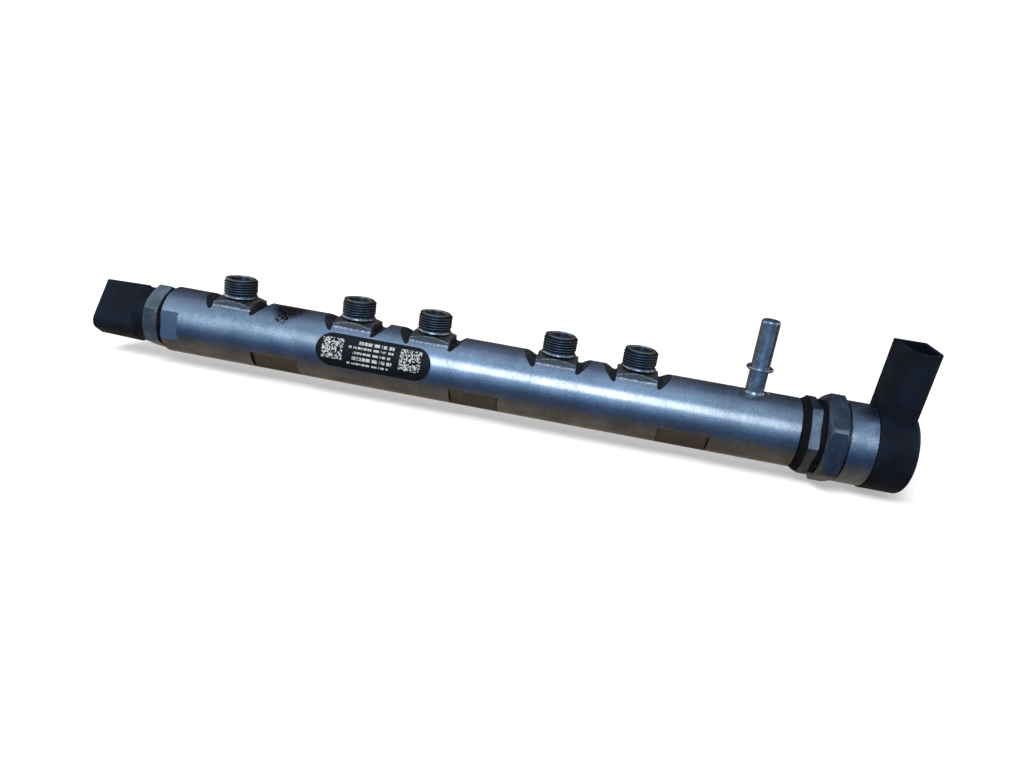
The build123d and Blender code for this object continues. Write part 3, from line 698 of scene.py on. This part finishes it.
def makeTurnedPiece(name, look):
    mesh = bmesh.new()
    rows = []
    for i in range(turnedMesh["stepsRound"]):
        turned = 2 * math.pi * i / turnedMesh["stepsRound"]
        angle = turned + math.radians(look["corner"])
        facet = math.inf  # how far out the flat of a hexagon lies here
        if look["across"]:
            facet = look["across"] / 2 / math.cos(turned % (math.pi / 3) - math.pi / 6)
        ring = [(x, min(r, facet)) for x, r in addStations(look["outline"])]
        ring = [(ring[0][0], look["bore"])] + ring + [(ring[-1][0], look["bore"])]
        rows.append([mesh.verts.new((x * mm, -r * math.cos(angle) * mm, r * math.sin(angle) * mm))
                     for x, r in ring])
    joinRows(mesh, rows, closedRound=True, closedProfile=True)
    material = {**steelMaterials, **softMaterials}[look["material"]]
    piece = finishPiece(mesh, name, material, turnedMesh["sharpAngle"])
    if look["replaces"]:
        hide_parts(look["replaces"])


for pieceName, look in turnedPieces.items():
    makeTurnedPiece(pieceName, look)
print("hexagons and rings turned")


# Label: black film with plain light bars and two fields of random squares, in millimetres from its middle
labelPrint = {
    "middle": -45.7, "turn": 14.0, "radius": 15.12,
    "underTone": "#0c0e15", "ink": "#b9bec2", "gloss": 0.2, "roughness": (0.38, 0.60),
    "bars": ((-7.0, 4.8, 16.0, 0.75), (-11.4, 2.5, 20.5, 0.5), (-9.4, 0.2, 17.5, 0.5),
             (-9.8, -2.2, 18.5, 0.75), (-11.2, -4.6, 18.5, 0.45)),  # left end, middle, length, half height
    "dashScale": 0.9, "dashGap": 0.46,
    "fields": ((-18.5, 0.7, 4.7), (16.6, 1.0, 4.7)), "cell": 0.55, "darkShare": 0.5,
    "scuffSize": 1.6, "scuffed": (0.36, 0.46),
}


def addBars(tree, along, arc):
    ink = None
    for left, middle, length, half in labelPrint["bars"]:
        bar = None
        for value, side, limit in ((along, "GREATER_THAN", left), (along, "LESS_THAN", left + length),
                                   (arc, "GREATER_THAN", middle - half),
                                   (arc, "LESS_THAN", middle + half)):
            within = addNode(tree, "Math", {0: value, 1: limit}, operation=side)
            bar = within if bar is None else addNode(tree, "Math", {0: bar, 1: within},
                                                     operation="MULTIPLY")
        ink = bar if ink is None else addNode(tree, "Math", {0: ink, 1: bar}, operation="MAXIMUM")
    gaps = addNode(tree, "TexNoise", {"W": along, "Scale": labelPrint["dashScale"], "Detail": 1.0},
                   noise_dimensions="1D")
    dashes = addNode(tree, "Math", {0: gaps, 1: labelPrint["dashGap"]}, operation="GREATER_THAN")
    return addNode(tree, "Math", {0: ink, 1: dashes}, operation="MULTIPLY")


def addFields(tree, along, arc, ink):
    flatPlace = addNode(tree, "CombineXYZ", {0: along, 1: arc})
    snapped = addNode(tree, "VectorMath", {0: flatPlace, 1: (labelPrint["cell"],) * 3}, operation="SNAP")
    dice = addNode(tree, "TexWhiteNoise", {0: snapped}, noise_dimensions="3D")
    squares = addNode(tree, "Math", {0: dice, 1: labelPrint["darkShare"]}, operation="GREATER_THAN")
    for x, y, half in labelPrint["fields"]:
        offset = addNode(tree, "VectorMath", {0: flatPlace, 1: (x, y, 0)}, operation="SUBTRACT")
        size = addNode(tree, "VectorMath", {0: offset}, operation="ABSOLUTE")
        width, height, _ = addNode(tree, "SeparateXYZ", {0: size}).node.outputs
        most = addNode(tree, "Math", {0: width, 1: height}, operation="MAXIMUM")
        inside = addNode(tree, "Math", {0: most, 1: half}, operation="LESS_THAN")
        field = addNode(tree, "Math", {0: inside, 1: squares}, operation="MULTIPLY")
        ink = addNode(tree, "Math", {0: ink, 1: field}, operation="MAXIMUM")
    return ink


def makeLabelFilm():
    look = labelPrint
    material, tree = newMaterial("printedPolyesterFilm")  # satin black film, scuffed light print
    place = addNode(tree, "TexCoord", out="Object")
    x, y, z = addNode(tree, "SeparateXYZ", {0: place}).node.outputs
    front = addNode(tree, "Math", {0: y, 1: -1.0}, operation="MULTIPLY")
    turn = addNode(tree, "Math", {0: z, 1: front}, operation="ARCTAN2")
    along = addNode(tree, "Math", {0: x, 1: 1 / mm, 2: -look["middle"]}, operation="MULTIPLY_ADD")
    arcStart = -math.radians(look["turn"]) * look["radius"]
    arc = addNode(tree, "Math", {0: turn, 1: look["radius"], 2: arcStart}, operation="MULTIPLY_ADD")
    ink = addFields(tree, along, arc, addBars(tree, along, arc))
    scuff = addNode(tree, "TexNoise", {"Vector": place, "Scale": 1 / (look["scuffSize"] * mm),
                                       "Detail": 6.0, "Roughness": 0.7})
    kept = addNode(tree, "MapRange", {0: scuff, 1: look["scuffed"][0], 2: look["scuffed"][1]})
    ink = addNode(tree, "Math", {0: ink, 1: kept}, operation="MULTIPLY")
    base = addNode(tree, "Mix", {0: ink, 6: toLinear(look["underTone"]), 7: toLinear(look["ink"])}, out=2,
                   data_type="RGBA")
    smooth, coarse = look["roughness"]
    rough = addNode(tree, "MapRange", {0: scuff, 1: noiseLow, 2: noiseHigh, 3: smooth, 4: coarse})
    finishMaterial(tree, {"Base Color": base, "Roughness": rough, "Specular IOR Level": look["gloss"]})
    return material


dress(makeLabelFilm(), "label")
print("label dressed")
